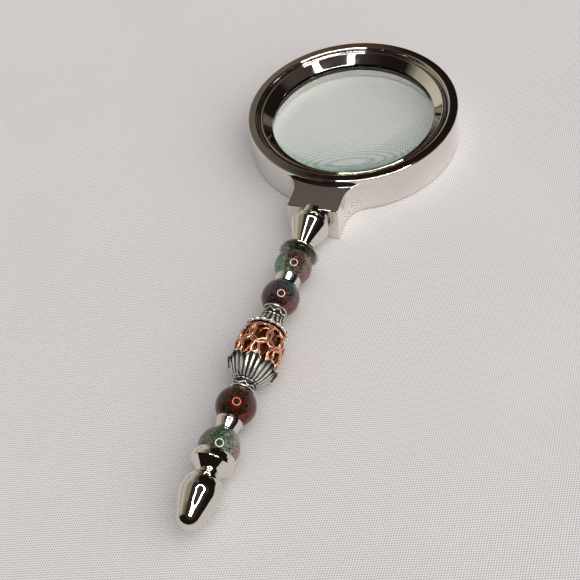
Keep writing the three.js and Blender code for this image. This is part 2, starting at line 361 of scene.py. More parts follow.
def noise(tree, vector, scale, detail=3.0, roughness=0.5, distortion=0.0):
    """Cloudy noise from 0 to 1; a scale of 1 repeats over about a millimetre."""
    inputs = {
        "Vector": vector,
        "Scale": scale,
        "Detail": detail,
        "Roughness": roughness,
        "Distortion": distortion,
    }
    return node(tree, "TexNoise", inputs).outputs["Fac"]


def new_material(name):
    """A material with its tree emptied but for the output."""
    material = bpy.data.materials.new(name)
    material.use_nodes = True
    tree = material.node_tree
    tree.nodes.clear()
    return material, tree, node(tree, "OutputMaterial")


def object_place(tree):
    """The shaded point in the part's frame, in millimetres."""
    place = node(tree, "TexCoord").outputs["Object"]
    return vector_maths(tree, "MULTIPLY", place, (1 / MM,) * 3)


def principled(tree, output, inputs):
    """An ordinary surface with the given inputs."""
    shader = node(tree, "BsdfPrincipled", inputs)
    tree.links.new(shader.outputs[0], output.inputs["Surface"])


def plated(name, colour=(0.80, 0.775, 0.745), roughness=0.045, wave=0.02):
    """Mirror plating: faint waviness of a cast under it, and wipe marks in its gloss."""
    material, tree, output = new_material(name)
    place = object_place(tree)
    smear = noise(tree, place, 0.35, 5.0, 0.6, 0.4)
    gloss = ramp(tree, smear, [(0.35, roughness * 0.6), (0.7, roughness * 1.8)])
    shade = ramp(
        tree,
        noise(tree, place, 0.12, 3.0),
        [(0.3, tuple(c * 0.94 for c in colour)), (0.7, colour)],
    )
    principled(
        tree,
        output,
        {
            "Base Color": shade,
            "Metallic": 1.0,
            "Roughness": gloss,
            "Normal": bump(tree, wave, 0.4, noise(tree, place, 0.45, 2.0)),
        },
    )
    return material


def antique_silver():
    """Silver plate polished on its ridges and dark in its hollows, by the stored depth of relief."""
    material, tree, output = new_material("antique_silver_look")
    place = object_place(tree)
    relief = node(tree, "Attribute", attribute_name="relief").outputs["Fac"]
    grain = noise(tree, place, 2.2, 4.0, 0.65)
    worn = maths(tree, "ADD", relief, drift(tree, grain, 0.45))
    tarnish, grey, bright = (0.03, 0.027, 0.024), (0.27, 0.255, 0.22), (0.86, 0.84, 0.77)
    shade = ramp(tree, worn, [(0.2, tarnish), (0.43, grey), (0.69, bright)])
    gloss = ramp(tree, worn, [(0.2, 0.45), (0.75, 0.14)])
    principled(
        tree,
        output,
        {
            "Base Color": shade,
            "Metallic": 0.72,
            "Roughness": gloss,
            "Normal": bump(tree, 0.2, 0.06, noise(tree, place, 5.0)),
        },
    )
    return material


def copper_wire():
    """Bright copper plating, painted browner where the wires cross and in towards the rod as painted
    shade in the recesses.
    """
    material, tree, output = new_material("copper_wire_look")
    place = object_place(tree)
    relief = node(tree, "Attribute", attribute_name="relief").outputs["Fac"]
    # relief here is height above the wires' middle, so the brown end of this ramp is painted shade in
    # the recesses, mixed with random mottle; copper and bright are the metal's own colour
    worn = maths(tree, "ADD", relief, drift(tree, noise(tree, place, 1.3, 4.0), 0.5))
    brown, copper, bright = (0.15, 0.055, 0.022), (0.36, 0.135, 0.068), (0.80, 0.41, 0.27)
    shade = ramp(tree, worn, [(0.0, brown), (0.45, copper), (0.95, bright)])
    gloss = ramp(tree, noise(tree, place, 0.9, 4.0), [(0.3, 0.07), (0.7, 0.2)])
    principled(
        tree,
        output,
        {
            "Base Color": shade,
            "Metallic": 0.85,
            "Roughness": gloss,
            "Normal": bump(tree, 0.15, 0.05, noise(tree, place, 7.0, 2.0)),
        },
    )
    return material


def stone(name, station, ground, patches, glint=(1.0, 1.0, 1.0), seed=0.0):
    """Polished stone: a mottled ground, patches of colour that face given ways, veins and specks.

    ground is four colours: dark, middle, light and the veins'. A patch is (direction as camera right,
    up and back; colour; how far it spreads). A patch that faces where the lamp's glint falls is painted
    reflection, not the stone's colour. seed moves the noise, so that no two beads are alike.
    """
    dark_ground, middle_ground, light_ground, vein_colour = ground
    material, tree, output = new_material(name)
    place = object_place(tree)
    centre = (0, LENS_Y - station, 0)
    inward = vector_maths(tree, "SUBTRACT", place, centre)
    across = vector_maths(tree, "MULTIPLY", inward, (1 / BEAD_R,) * 3)
    shifted = vector_maths(tree, "ADD", inward, (seed, seed * 1.7, seed * 0.6))
    cloud = noise(tree, shifted, 0.55, 7.0, 0.68, 1.2)
    mottle = noise(tree, shifted, 1.9, 6.0, 0.7, 0.5)
    colour = ramp(tree, cloud, [(0.34, dark_ground), (0.5, middle_ground), (0.64, light_ground)])
    for index, (facing, tint, spread) in enumerate(patches):
        way = CAMERA_TURN @ Vector(facing)
        near = vector_maths(tree, "DOT_PRODUCT", across, tuple(way.normalized()))
        wander = noise(tree, shifted, 0.6 + 0.08 * index, 7.0, 0.68, 1.0)
        reach = maths(tree, "ADD", near, drift(tree, wander, 2.0))
        mask = ramp(tree, reach, [(1 - spread - 0.2, 0.0), (1 - spread + 0.16, 0.92)], "EASE")
        colour = mix(tree, mask, colour, tint)
    shade = ramp(tree, mottle, [(0.38, 0.2), (0.6, 1.7)])
    colour = mix(tree, 1.0, colour, shade, "MULTIPLY")
    cells = node(tree, "TexVoronoi", {"Vector": shifted, "Scale": 0.62}, feature="DISTANCE_TO_EDGE")
    vein = ramp(tree, cells.outputs["Distance"], [(0.0, 0.5), (0.06, 0.0)])
    broken = maths(tree, "MULTIPLY", vein, ramp(tree, cloud, [(0.48, 0.0), (0.62, 1.0)]))
    colour = mix(tree, broken, colour, vein_colour)
    specks = node(tree, "TexVoronoi", {"Vector": shifted, "Scale": 2.6})
    dark = ramp(tree, specks.outputs["Distance"], [(0.12, 0.6), (0.26, 0.0)])
    colour = mix(tree, dark, colour, (0.010, 0.009, 0.008))
    principled(
        tree,
        output,
        {
            "Base Color": colour,
            "Roughness": ramp(tree, mottle, [(0.3, 0.03), (0.7, 0.08)]),
            "IOR": 1.62,
            "Specular Tint": rgba(glint),
            "Subsurface Weight": 0.05,
            "Subsurface Radius": (0.0012, 0.0008, 0.0006),
        },
    )
    return material


def lens_glass():
    """Clear glass with a painted, streaky green band at its near edge, standing for the lens's bottom
    edge seen through it; light passes through it.
    """
    material, tree, output = new_material("lens_glass_look")
    place = object_place(tree)
    dust = ramp(tree, noise(tree, place, 0.5, 6.0, 0.7), [(0.45, 0.0), (0.8, 0.03)])
    flat = vector_maths(tree, "MULTIPLY", place, (1, 1, 0))
    r = vector_maths(tree, "LENGTH", vector_maths(tree, "SUBTRACT", flat, PAINTED_EDGE_CENTRE))
    streaks = noise(tree, vector_maths(tree, "MULTIPLY", place, (0.35, 1.6, 1.0)), 1.0, 4.0, 0.6)
    share = maths(tree, "DIVIDE", maths(tree, "ADD", r, streaks), PAINTED_EDGE_R * 2)
    # painted light: the green band stands for the lens's bottom edge seen through the glass
    painted_edge_mask = ramp(tree, share, [(0.508, 0.0), (0.516, 1.0)])
    streaky = ramp(tree, streaks, [(0.4, 0.0), (0.6, 1.0)])
    green = mix(tree, streaky, (0.66, 0.88, 0.78), (0.86, 0.96, 0.92))
    tint = mix(tree, painted_edge_mask, (0.965, 0.995, 0.985), green)
    clear = node(tree, "BsdfGlass", {"Color": tint, "Roughness": dust, "IOR": 1.52})
    passing = node(tree, "BsdfTransparent", {"Color": (0.985, 0.998, 0.995, 1)})
    ray = node(tree, "LightPath")
    lighting = maths(tree, "MAXIMUM", ray.outputs["Is Shadow Ray"], ray.outputs["Is Diffuse Ray"])
    either = node(tree, "MixShader", {0: lighting, 1: clear.outputs[0], 2: passing.outputs[0]})
    tree.links.new(either.outputs[0], output.inputs["Surface"])
    return material


def washer_rubber():
    """Matt black rubber."""
    material, tree, output = new_material("washer_rubber_look")
    place = object_place(tree)
    shade = ramp(tree, noise(tree, place, 1.5, 5.0), [(0.3, 0.012), (0.7, 0.03)])
    grain = bump(tree, 0.3, 0.05, noise(tree, place, 6.0))
    principled(tree, output, {"Base Color": shade, "Roughness": 0.75, "Normal": grain})
    return material


def drawn_steel():
    """Drawn rod: fine streaks along its length."""
    material, tree, output = new_material("drawn_steel_look")
    place = object_place(tree)
    along = vector_maths(tree, "MULTIPLY", place, (6.0, 0.15, 6.0))
    streak = noise(tree, along, 1.0, 4.0, 0.6)
    shade = ramp(tree, streak, [(0.3, (0.36, 0.35, 0.34)), (0.7, (0.62, 0.61, 0.59))])
    principled(
        tree,
        output,
        {
            "Base Color": shade,
            "Metallic": 1.0,
            "Roughness": ramp(tree, streak, [(0.3, 0.22), (0.7, 0.4)]),
            "Normal": bump(tree, 0.3, 0.04, streak),
        },
    )
    return material


def finished(made, material, body, slot, *nodes):
    """Gives a piece its material and its body, and hides the CAD nodes it stands for; slot is not used.
    """
    made.data.materials.clear()
    made.data.materials.append(material)
    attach(made, body)
    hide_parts(*nodes)


# ---- frame and lens ----
def neck_block():
    """The block that joins frame and handle: straight sides opening through concave corners."""
    just_inside = FRAME_R - 0.06
    fillet_x = NECK_HALF_WIDTH + NECK_FILLET_R
    fillet_y = -math.sqrt((just_inside + NECK_FILLET_R) ** 2 - fillet_x**2)
    towards = math.degrees(math.atan2(-fillet_y, -fillet_x))
    side = arc(fillet_x, fillet_y, NECK_FILLET_R, towards, 180, 20)
    root = math.degrees(math.atan2(side[0][0], -side[0][1]))
    inner = arc(0, 0, FRAME_R - NECK_OVERLAP, -90 - root, -90 + root, 24)
    corners = []
    for height, end in ((FRAME_BOTTOM, NECK_END_BOTTOM), (NECK_TOP, NECK_END_TOP)):
        right = side + [(NECK_HALF_WIDTH, -end)]
        left = [(-x, y) for x, y in reversed(right)]
        outline = right + left + inner
        fall = NECK_FALL if height == NECK_TOP else 0
        corners += [(x, y + LENS_Y, height + fall * (y + FRAME_R)) for x, y in outline]
    count = len(corners) // 2
    faces = [list(range(count)), [count + i for i in reversed(range(count))]]
    for i in range(count):
        j = (i + 1) % count
        faces.append([i, j, count + j, count + i])
    block = piece("neck_block", corners, faces)
    modified(
        block,
        "BEVEL",
        width=NECK_EDGE_ROUND * MM,
        segments=3,
        limit_method="ANGLE",
        angle_limit=math.radians(50),
    )
    return block


def frame_casting():
    """The round frame with its neck block, the collar's seat and the rod's blind hole."""
    pocket_r = LENS_R + LENS_PLAY
    profile = rounded(
        [
            (FRAME_R, FRAME_TOP, FRAME_EDGE_ROUND),
            (FRAME_R, FRAME_BOTTOM, FRAME_EDGE_ROUND),
            (CLEAR_R, FRAME_BOTTOM, 0.6),
            (CLEAR_R, SEAT_HEIGHT),
            (pocket_r, SEAT_HEIGHT),
            (pocket_r, LENS_EDGE_TOP),
            (THREAD_R, LENS_EDGE_TOP),
            (THREAD_R, GROOVE_FLOOR, 0.1),
            (RIM_INNER_R, GROOVE_FLOOR, 0.1),
            (RIM_INNER_R, FRAME_TOP, RIM_ROUND),
        ]
    )
    made = turned("frame_casting", profile, on_frame, 256)
    joined(made, neck_block())
    buried = NECK_END_TOP - 1
    seat = [(0, buried), (SEAT_R, buried), (SEAT_R, SEAT_END), (0, SEAT_END)]
    joined(made, turned("seat", seat, sides=64, loop=False))
    drill_point, past_seat = 0.3, SEAT_END + 1.7
    bore = [
        (0, NECK_BORE_END),
        (STUD_BORE_R, NECK_BORE_END + drill_point),
        (STUD_BORE_R, past_seat),
        (0, past_seat),
    ]
    joined(made, turned("bore", bore, sides=32, loop=False), "DIFFERENCE")
    clean(made, 30)
    modified(made, "WEIGHTED_NORMAL", keep_sharp=True, weight=80)
    return made


def retaining_ring():
    """A screwed ring whose conical face runs down to the glass."""
    outer = THREAD_R - THREAD_PLAY
    foot = LENS_EDGE_TOP + RING_FOOT_GAP
    top = CONE_TOP + 0.2
    outline = [
        (outer, foot),
        (outer, top, 0.3),
        (CONE_TOP_R, top, 0.3),
        (CLEAR_R + 0.15, CONE_FOOT, 0.3),
        (CLEAR_R, foot + 0.15, 0.1),
        (CLEAR_R + 0.4, foot),
    ]
    return turned("retaining_ring_turned", rounded(outline), on_frame, 256)


def lens():
    """A biconvex lens with a straight edge."""

    def sag(r):
        return LENS_CURVE_R - math.sqrt(LENS_CURVE_R**2 - r**2)

    steps = 40
    rings = [LENS_R * i / steps for i in range(steps + 1)]
    front = [(r, LENS_EDGE_TOP + sag(LENS_R) - sag(r)) for r in rings]
    back = [(r, LENS_EDGE_BOTTOM - sag(LENS_R) + sag(r)) for r in rings]
    return turned("lens_polished", front + back[::-1], on_frame, 160, loop=False)


# ---- neck fittings ----
def neck_collar():
    """Two steps with a groove between them."""
    start = COLLAR_START
    end = start + 1.25
    low_r, groove_r, high_r = 4.65, 4.4, 4.8
    outline = [
        (BORE_R, start),
        (low_r - 0.15, start, 0.05),
        (low_r, start + 0.12, 0.1),
        (low_r, start + 0.45, 0.1),
        (groove_r, start + 0.55, 0.05),
        (groove_r, start + 0.65, 0.05),
        (high_r, start + 0.72, 0.1),
        (high_r, end - 0.15, 0.1),
        (high_r - 0.2, end, 0.05),
        (BORE_R, end),
    ]
    return turned("neck_collar_turned", rounded(outline))


def neck_cone():
    """A cone that bulges a little above its foot and narrows towards the cup."""
    start = CONE_START
    end = start + 7.85
    foot_r, widest_r, narrow_r = 4.85, 5.27, 2.3
    outline = [
        (BORE_R, start),
        (foot_r, start, 0.1),
        (widest_r - 0.09, start + 0.15, 0.1),
        (widest_r, start + 1.05, 2.5),
        (narrow_r, end, 0.15),
        (BORE_R, end),
    ]
    return turned("neck_cone_turned", rounded(outline))


def neck_cup():
    """A short stem that flares into a thick-lipped cup for the first bead."""
    start = CUP_START
    stem_r, lip_inner_r, lip_r = 3.05, 4.85, 5.4
    lip_top = start + 2.5
    outline = [
        (BORE_R, start),
        (stem_r - 0.25, start, 0.15),
        (stem_r, start + 0.5, 0.15),
        (stem_r - 0.1, start + 0.8, 0.1),
        (lip_inner_r + 0.1, start + 1.85, 0.3),
        (lip_r, start + 1.95, 0.26),
        (lip_r, lip_top, 0.26),
        (lip_inner_r, lip_top, 0.26),
        (3.4, start + 2.05, 0.3),
        (BORE_R, start + 2.1),
    ]
    return turned("neck_cup_turned", rounded(outline))


# ---- strung pieces ----
def bead(name, station):
    """A drilled ball."""
    mouth = math.degrees(math.asin(BORE_R / BEAD_R))
    ball = arc(0, station, BEAD_R, mouth - 90, 90 - mouth, 72)
    return turned(name, ball, sides=128)


def hollow(station, side, start_r, end_r, steps=10):
    """A hollow that follows a bead at a small gap; side is -1 towards the lens, 1 away from it."""
    points = []
    for i in range(steps + 1):
        r = start_r + (end_r - start_r) * i / steps
        points.append((r, station + side * math.sqrt((BEAD_R + BEAD_GAP) ** 2 - r**2)))
    return points


def spacer(name, before, after, start_r, between, end_r):
    """A small turned piece, hollowed at both ends for the beads before and after it."""
    profile = hollow(before, 1, BORE_R, start_r) + between + hollow(after, -1, end_r, BORE_R)
    return turned(name, profile)


def store_relief(made, relief_at):
    """Keeps how proud of its hollows each corner stands, for the patina of the caps and the painted
    shade of the filigree.
    """
    attribute = made.data.attributes.new("relief", "FLOAT", "POINT")
    for corner, value in zip(made.data.vertices, attribute.data):
        x, y, z = corner.co / MM
        value.value = relief_at(math.hypot(x, z), LENS_Y - y, math.atan2(x, z))


def smooth_step(value, low, high):
    """A smooth rise from 0 at low to 1 at high."""
    t = min(1.0, max(0.0, (value - low) / (high - low)))
    return t * t * (3 - 2 * t)


def bead_cap(name, cap, bead_station, ribs_at):
    """A cap: an ornamented collar on a bead, and a flared skirt with ribs and a scalloped rim."""
    rim, throat, mouth = cap["rim"], cap["throat"], cap["mouth"]
    outwards = 1 if rim > throat else -1
    length = abs(rim - throat)
    rows, collar_rows = 44, 40
    mouth_edge, waist_depth = 0.25, 0.22

    def skirt(share, wall):
        r = COLLAR_R + (cap["rim_r"] - COLLAR_R) * share ** cap["flare"]
        return (r - wall, throat + outwards * length * share)

    collar = []
    for i in range(collar_rows + 1):
        along = i / collar_rows
        waist = math.sin(math.pi * min(1, along * 1.1)) ** 2
        station = mouth + outwards * (mouth_edge + (abs(throat - mouth) - mouth_edge) * along)
        collar.append((COLLAR_R - waist_depth * waist, station))
    edge_share = 1 - LIP_R / length
    outer = [skirt(edge_share * i / rows, 0) for i in range(1, rows + 1)]
    lip = []
    for degrees in range(-60, 181, 15):
        angle = math.radians(degrees)
        lip_r = cap["rim_r"] - 0.2 + LIP_R * math.cos(angle)
        lip.append((lip_r, rim - outwards * LIP_R * (1 - math.sin(angle))))
    inner = [skirt(edge_share * i / rows, CAP_WALL) for i in range(rows, 4, -2)]
    profile = (
        hollow(bead_station, outwards, BORE_R, COLLAR_R - 0.1)
        + collar
        + outer
        + lip
        + inner
        + [(BORE_R, throat + outwards * 0.8)]
    )

    def from_tip_at(angle):
        return 1 - abs(math.cos(cap["scallops"] * (angle - math.radians(cap["first_tip"])) / 2))

    def shape(r, station, angle):
        share = (station - throat) / (rim - throat)
        middle_r = skirt(max(0.0, min(1.0, share)), CAP_WALL * 0.5)[0]
        outside = smooth_step(r, middle_r - 0.12, middle_r + 0.12)
        if share > 0:
            from_tip = from_tip_at(angle)
            grow = smooth_step(share, 0.15, 1.0)
            scale = 1 - cap["flute"] * grow * from_tip
            r = r * scale + outside * ribs_at(share, angle)
            station -= outwards * cap["notch"] * share**2 * from_tip
        elif r > COLLAR_R - 0.5:
            r += collar_ornament(station, angle, mouth, throat)
        return r, station, angle

    made = turned(name, profile, sides=cap["sides"], shape=shape, sharp_degrees=60)

    def relief_at(r, station, angle):
        share = (station - throat) / (rim - throat)
        if share < 0:
            if r < COLLAR_R - 0.6:
                return 0.1
            return 0.12 + 5.0 * collar_ornament(station, angle, mouth, throat)
        from_tip = from_tip_at(angle)
        shallow = station + outwards * cap["notch"] * share**2 * from_tip
        share = max(0.01, (shallow - throat) / (rim - throat))
        middle_r = skirt(min(1.0, share), CAP_WALL * 0.5)[0] * (1 - cap["flute"] * from_tip)
        if r < middle_r - 0.05 and share < 0.97:
            return 0.1
        return cap["patina"](min(share, 1.0), angle)

    store_relief(made, relief_at)
    return made


def band(along, middle, half_width, height):
    """A rounded band of relief round a collar."""
    return height * math.exp(-(((along - middle) / half_width) ** 2))


def collar_ornament(station, angle, mouth, throat):
    """Relief of a cap's collar: an edge bead at the mouth, a wavy scroll and a ring of small beads."""
    along = (station - mouth) / (throat - mouth)
    edge = band(along, 0.1, 0.06, 0.16)
    scroll = band(along, 0.42 + 0.11 * math.sin(SCROLL_WAVES * angle), 0.055, 0.17)
    ring = band(along, 0.84, 0.07, 0.18) * (0.55 + 0.45 * math.cos(RING_BEADS * angle))
    return edge + scroll + ring


def upper_ribs(share, angle):
    """Deep flutes whose ridges swell into round lobes at the rim."""
    ridge = abs(math.cos(UPPER_LOBES * angle / 2))
    swell = smooth_step(share, 0.82, 0.95)
    grow = smooth_step(share, 0.0, 0.25) * (1 - swell)
    return 0.28 * grow * (ridge - 0.62) + 0.34 * swell * (ridge - 0.45)


def upper_patina(share, angle):
    """How bright the upper cap is worn: its ridges and its rim."""
    ridge = abs(math.cos(UPPER_LOBES * angle / 2))
    return 0.05 + 0.85 * ridge**2.4 * (1 - 0.2 * share) + 0.55 * smooth_step(share, 0.86, 0.94)


def lower_ridge(angle):
    """1 along the middle of each of the lower cap's ribs, 0 between them."""
    return abs(math.cos(LOWER_RIBS * (angle - math.radians(LOWER_FIRST_TIP)) / 2))


def lower_ribs(share, angle):
    """Ribs that fan out over shell-like petals, and a smooth edge bead round each petal."""
    grow = smooth_step(share, 0.0, 0.2) * (1 - smooth_step(share, 0.8, 0.93))
    edge = smooth_step(share, 0.9, 0.96)
    return 0.3 * grow * (lower_ridge(angle) - 0.6) + 0.1 * edge


def lower_patina(share, angle):
    """How bright the lower cap is worn: its ribs, less so in the petals' middles, and its edge bead."""
    petal = 1.0 - 0.55 * smooth_step(share, 0.5, 0.85) * (1 - smooth_step(share, 0.88, 0.94))
    return 0.02 + 0.98 * lower_ridge(angle) ** 2.3 * petal + 0.6 * smooth_step(share, 0.9, 0.96)


SCROLL_WAVES = 7
RING_BEADS = 16
UPPER_LOBES = 16
LOWER_PETALS = 8
LOWER_RIBS = 3 * LOWER_PETALS
LOWER_FIRST_TIP = 15.0
# rim, throat and mouth are stations; flare is the power of the skirt's outline, notch is how far the
# rim is cut back between its tips, and flute is the share of the radius that it pulls in there
UPPER_CAP = {
    "rim": 78.1,
    "throat": 74.4,
    "mouth": 71.1,
    "rim_r": 5.15,
    "flare": 1.6,
    "scallops": UPPER_LOBES,
    "first_tip": 0.0,
    "notch": 0.35,
    "flute": 0.05,
    "sides": 320,
    "patina": upper_patina,
}
LOWER_CAP = {
    "rim": 87.7,
    "throat": 93.2,
    "mouth": 95.9,
    "rim_r": 6.1,
    "flare": 0.7,
    "scallops": LOWER_PETALS,
    "first_tip": LOWER_FIRST_TIP,
    "notch": 1.8,
    "flute": 0.06,
    "sides": 384,
    "patina": lower_patina,
}


LOOPS = 8
# a row's shift is along the bead, its phase is a share of one loop, and its lift is off the envelope
LOOP_ROWS = (
    {"shift": -2.45, "half_length": 3.1, "half_width": 2.9, "phase": 0.2, "lift": 0.0},
    {"shift": 2.25, "half_length": 3.1, "half_width": 3.2, "phase": 0.7, "lift": 0.0},
    {"shift": -0.3, "half_length": 3.9, "half_width": 2.1, "phase": 0.45, "lift": -0.5},
)


def envelope(station):
    """Radius of the middle of the wires of the filigree bead at a station."""
    share = abs(station - FILIGREE_CENTRE) / FILIGREE_HALF_LENGTH
    fullness = 4 if station < FILIGREE_CENTRE else 3
    return (FILIGREE_R - WIRE_R) * max(0.0, 1 - share**fullness) ** (1 / fullness)


def wire(name, path, radius, count=72, sides=10):
    """A closed loop of round wire; path gives a station, an angle and a lift for a share of a turn."""
    middles = []
    for i in range(count):
        station, angle, lift = path(i / count)
        middles.append(Vector(on_handle(envelope(station) + lift, station, angle)))
    corners, faces = [], []
    for i in range(count):
        ahead = (middles[(i + 1) % count] - middles[i - 1]).normalized()
        out = Vector((middles[i].x, 0, middles[i].z)).normalized()
        across = ahead.cross(out).normalized()
        out = across.cross(ahead)
        for k in range(sides):
            turn = 2 * math.pi * k / sides
            corners.append(middles[i] + (out * math.cos(turn) + across * math.sin(turn)) * radius)
    for i in range(count):
        j = (i + 1) % count
        for k in range(sides):
            m = (k + 1) % sides
            faces.append([i * sides + k, i * sides + m, j * sides + m, j * sides + k])
    return piece(name, corners, faces)


def loop_path(row, start, loop):
    """The path of one loop of the filigree, which weaves a little in and out."""
    weave = 0.14

    def path(t):
        turn = 2 * math.pi * t
        station = FILIGREE_CENTRE + loop["shift"] + loop["half_length"] * math.cos(turn)
        angle = start + loop["half_width"] / FILIGREE_R * math.sin(turn)
        return station, angle, loop["lift"] + weave * math.sin(2 * turn + row)

    return path


def filigree():
    """A barrel of overlapping round loops of wire over a core, between two end bands; the core and the
    deeper wires are painted dark as shade.
    """
    end_reach = FILIGREE_HALF_LENGTH - 0.6
    band_half, band_rise, band_round = 0.45, 0.3, 0.25

    def end_band(side):
        station = FILIGREE_CENTRE + side * end_reach
        r = envelope(station) + band_rise
        outline = [
            (BORE_R, station - band_half),
            (r, station - band_half, band_round),
            (r, station + band_half, band_round),
            (BORE_R, station + band_half),
        ]
        return turned("end_band", rounded(outline), sides=96)

    core = [(BORE_R, FILIGREE_CENTRE - end_reach)]
    steps = 24
    for i in range(steps + 1):
        station = FILIGREE_CENTRE + end_reach * (2 * i / steps - 1)
        core.append((envelope(station) - CORE_DEPTH, station))
    core.append((BORE_R, FILIGREE_CENTRE + end_reach))
    made = turned("filigree_wires", core, sides=96)
    parts = [end_band(-1), end_band(1)]
    for row, loop in enumerate(LOOP_ROWS):
        for i in range(LOOPS):
            start = 2 * math.pi * (i + loop["phase"]) / LOOPS
            parts.append(wire("loop", loop_path(row, start, loop), WIRE_R))
    for part in parts:
        joined(made, part, solver="MANIFOLD")
    clean(made, 50)
    # relief: height above the wires' middle; copper_wire paints the low corners dark as painted shade
    store_relief(made, lambda r, station, angle: smooth_step(r - envelope(station), -0.5, 0.2))
    return made


# ---- finial ----
def finial_dish():
    """A dish that holds the last bead, on a cone that narrows to a waist."""
    rim_station = BEAD_4 + 2.3
    rim_r, widest_r = 4.72, 5.34
    outside = rounded(
        [
            (4.5, rim_station - 0.05),
            (rim_r, rim_station, 0.1),
            (rim_r + 0.28, rim_station + 0.6, 0.4),
            (widest_r - 0.1, rim_station + 1.5, 0.4),
            (widest_r, rim_station + 2.45, 0.3),
            (WAIST_R, DISH_END - 0.25, 0.2),
            (WAIST_R, DISH_END),
        ],
        loop=False,
    )
    profile = hollow(BEAD_4, 1, BORE_R, 4.42) + outside + [(BORE_R, DISH_END)]
    return turned("finial_dish", profile)


def finial_bullet():
    """A bullet: a full shoulder, a long nearly straight taper, and a ball nose."""
    start = BULLET_START
    neck_r, widest_r, widest = 2.4, 4.9, 123.4
    nose_r, nose_slope = 3.1, 19.0
    shoulder_sweep, steps = 60, 16
    shoulder = []
    for i in range(steps + 1):
        angle = math.radians(shoulder_sweep * i / steps)
        r = neck_r + (widest_r - neck_r) * math.sin(angle)
        shoulder.append((r, widest - (widest - start) * math.cos(angle)))
    nose = arc(0, TIP_END - nose_r, nose_r, nose_slope, 90, 14)
    nose[-1] = (0, TIP_END)
    flank = [(widest_r + 0.08, widest + 0.1, 6.0), (3.85, widest + 3.9, 20.0)]
    outside = rounded(shoulder + flank + nose[:1], loop=False, step_degrees=3)
    bore = [(0, TIP_BORE_END), (STUD_BORE_R, TIP_BORE_END), (STUD_BORE_R, start)]
    return turned("finial_bullet", bore + outside + nose[1:], loop=False)


# ---- build ----
chrome = plated("bright_plating")
turned_chrome = plated("turned_plating", colour=(0.79, 0.77, 0.70), roughness=0.035, wave=0.005)
satin = plated("satin_plating", colour=(0.82, 0.80, 0.76), roughness=0.11, wave=0.05)
silver = antique_silver()

finished(frame_casting(), chrome, "frame", "bright_plate", "frame_ring")
finished(retaining_ring(), turned_chrome, "frame", "bright_plate", "retaining_ring")
finished(lens(), lens_glass(), "frame", "lens_glass", "lens")
finished(neck_collar(), turned_chrome, "frame", "bright_plate", "neck_collar")
finished(neck_cone(), turned_chrome, "frame", "bright_plate", "neck_cone")
finished(neck_cup(), turned_chrome, "frame", "bright_plate", "neck_cup")

for kept, material in (("lens_washer", washer_rubber()), ("handle_rod", drawn_steel())):
    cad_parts[kept].data.materials.clear()
    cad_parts[kept].data.materials.append(material)

stone_1 = stone(
    "stone_1",
    BEAD_1,
    ((0.010, 0.007, 0.005), (0.034, 0.022, 0.014), (0.085, 0.062, 0.042), (0.22, 0.20, 0.16)),
    [
        ((-0.55, 0.6, 0.5), (0.024, 0.085, 0.060), 0.75),
        ((-0.7, -0.2, 0.6), (0.13, 0.19, 0.135), 0.3),
        ((0.6, 0.6, 0.4), (0.048, 0.046, 0.030), 0.4),
        ((0.95, -0.1, 0.2), (0.12, 0.10, 0.075), 0.35),
        ((0.55, -0.8, 0.2), (0.12, 0.065, 0.055), 0.35),
        # painted reflection: a red-brown patch where the lamp's glint falls, halfway between the camera
        # and the lamp
        ((0.07, 0.33, 0.94), (0.050, 0.014, 0.009), 0.0),
    ],
    glint=(1.0, 0.72, 0.64),
    seed=3.1,
)
stone_2 = stone(
    "stone_2",
    BEAD_2,
    ((0.004, 0.003, 0.004), (0.018, 0.008, 0.009), (0.040, 0.022, 0.024), (0.10, 0.07, 0.06)),
    [
        ((0.5, 0.7, 0.3), (0.013, 0.046, 0.042), 0.56),
        ((-0.8, 0.5, 0.2), (0.050, 0.036, 0.042), 0.35),
        ((0.95, -0.2, 0.2), (0.085, 0.045, 0.050), 0.3),
        ((0.25, -0.95, 0.3), (0.11, 0.022, 0.020), 0.4),
        # painted reflection: a red-brown patch where the lamp's glint falls, halfway between the camera
        # and the lamp
        ((0.07, 0.33, 0.94), (0.060, 0.010, 0.008), -0.14),
    ],
    glint=(1.0, 0.80, 0.76),
    seed=8.4,
)
stone_3 = stone(
    "stone_3",
    BEAD_3,
    ((0.004, 0.003, 0.002), (0.014, 0.007, 0.005), (0.030, 0.018, 0.011), (0.06, 0.02, 0.014)),
    [
        ((-0.4, 0.75, 0.5), (0.020, 0.018, 0.010), 0.25),
        ((-0.95, -0.2, 0.1), (0.055, 0.020, 0.024), 0.3),
        ((0.5, -0.85, 0.1), (0.075, 0.017, 0.018), 0.35),
        ((0.95, 0.2, 0.1), (0.050, 0.024, 0.026), 0.25),
        # painted reflection: a red-brown patch where the lamp's glint falls, halfway between the camera
        # and the lamp
        ((0.07, 0.33, 0.94), (0.055, 0.010, 0.005), -0.16),
    ],
    glint=(1.0, 0.34, 0.24),
    seed=5.7,
)
stone_4 = stone(
    "stone_4",
    BEAD_4,
    ((0.020, 0.024, 0.018), (0.060, 0.070, 0.055), (0.13, 0.145, 0.12), (0.24, 0.25, 0.22)),
    [
        ((0.15, 0.85, 0.5), (0.024, 0.058, 0.026), 0.36),
        ((-0.9, 0.3, 0.2), (0.090, 0.075, 0.058), 0.4),
        ((0.9, 0.15, 0.3), (0.135, 0.150, 0.132), 0.36),
        ((0.7, -0.65, 0.3), (0.15, 0.070, 0.058), 0.3),
    ],
    seed=1.9,
)

